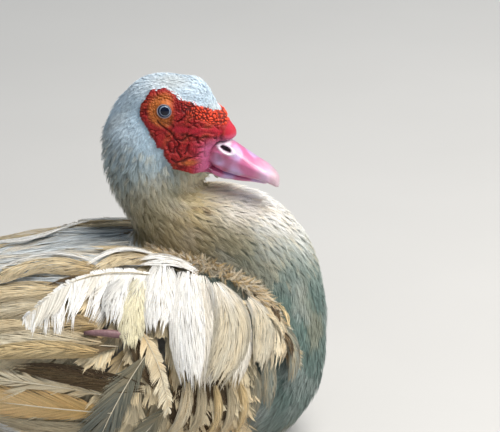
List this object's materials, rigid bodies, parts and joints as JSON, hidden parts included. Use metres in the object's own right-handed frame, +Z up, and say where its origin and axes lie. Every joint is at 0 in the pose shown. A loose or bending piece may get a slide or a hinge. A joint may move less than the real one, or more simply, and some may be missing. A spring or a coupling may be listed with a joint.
{
  "type": "duck",
  "caption": "White domestic duck with a bare red face and pink bill, lying at rest with its neck drawn back and its bill on its breast.",
  "frame": {"origin": "on the floor, in the middle of the flat that the belly rests on", "axes": "+X the way the duck's body faces, +Y its left side, +Z up"},
  "size_m": [0.4517, 0.2044, 0.3016],
  "materials": {
    "body_feather": "soft matt white down and contour feathers, stained cream in places",
    "wing_feather": "matt white to cream vanes with pale shafts",
    "face_skin": "bare wrinkled skin, slightly moist",
    "bill": "smooth satin skin",
    "horn": "smooth horn",
    "eye": "wet and clear",
    "foot_skin": "scaly, half matt"
  },
  "bodies": {
    "root": {"trunk": "body_feather", "neck_lower": "body_feather", "neck_upper": "body_feather", "head": "body_feather", "face_skin_right": "face_skin", "face_skin_left": "face_skin", "bill_upper": "bill", "bill_nail": "horn", "bill_lower": "bill", "eye_right": "eye", "eye_left": "eye", "scapulars_right": "wing_feather", "scapulars_left": "wing_feather", "wing_coverts_right": "wing_feather", "wing_coverts_left": "wing_feather", "secondaries_right": "wing_feather", "secondaries_left": "wing_feather", "primaries_right": "wing_feather", "primaries_left": "wing_feather", "tail": "wing_feather", "shank_right": "foot_skin", "shank_left": "foot_skin", "foot_right": "foot_skin", "foot_left": "foot_skin", "claw_inner_right": "horn", "claw_inner_left": "horn", "claw_middle_right": "horn", "claw_middle_left": "horn", "claw_outer_right": "horn", "claw_outer_left": "horn", "claw_hind_right": "horn", "claw_hind_left": "horn"}
  },
  "joints": []
}
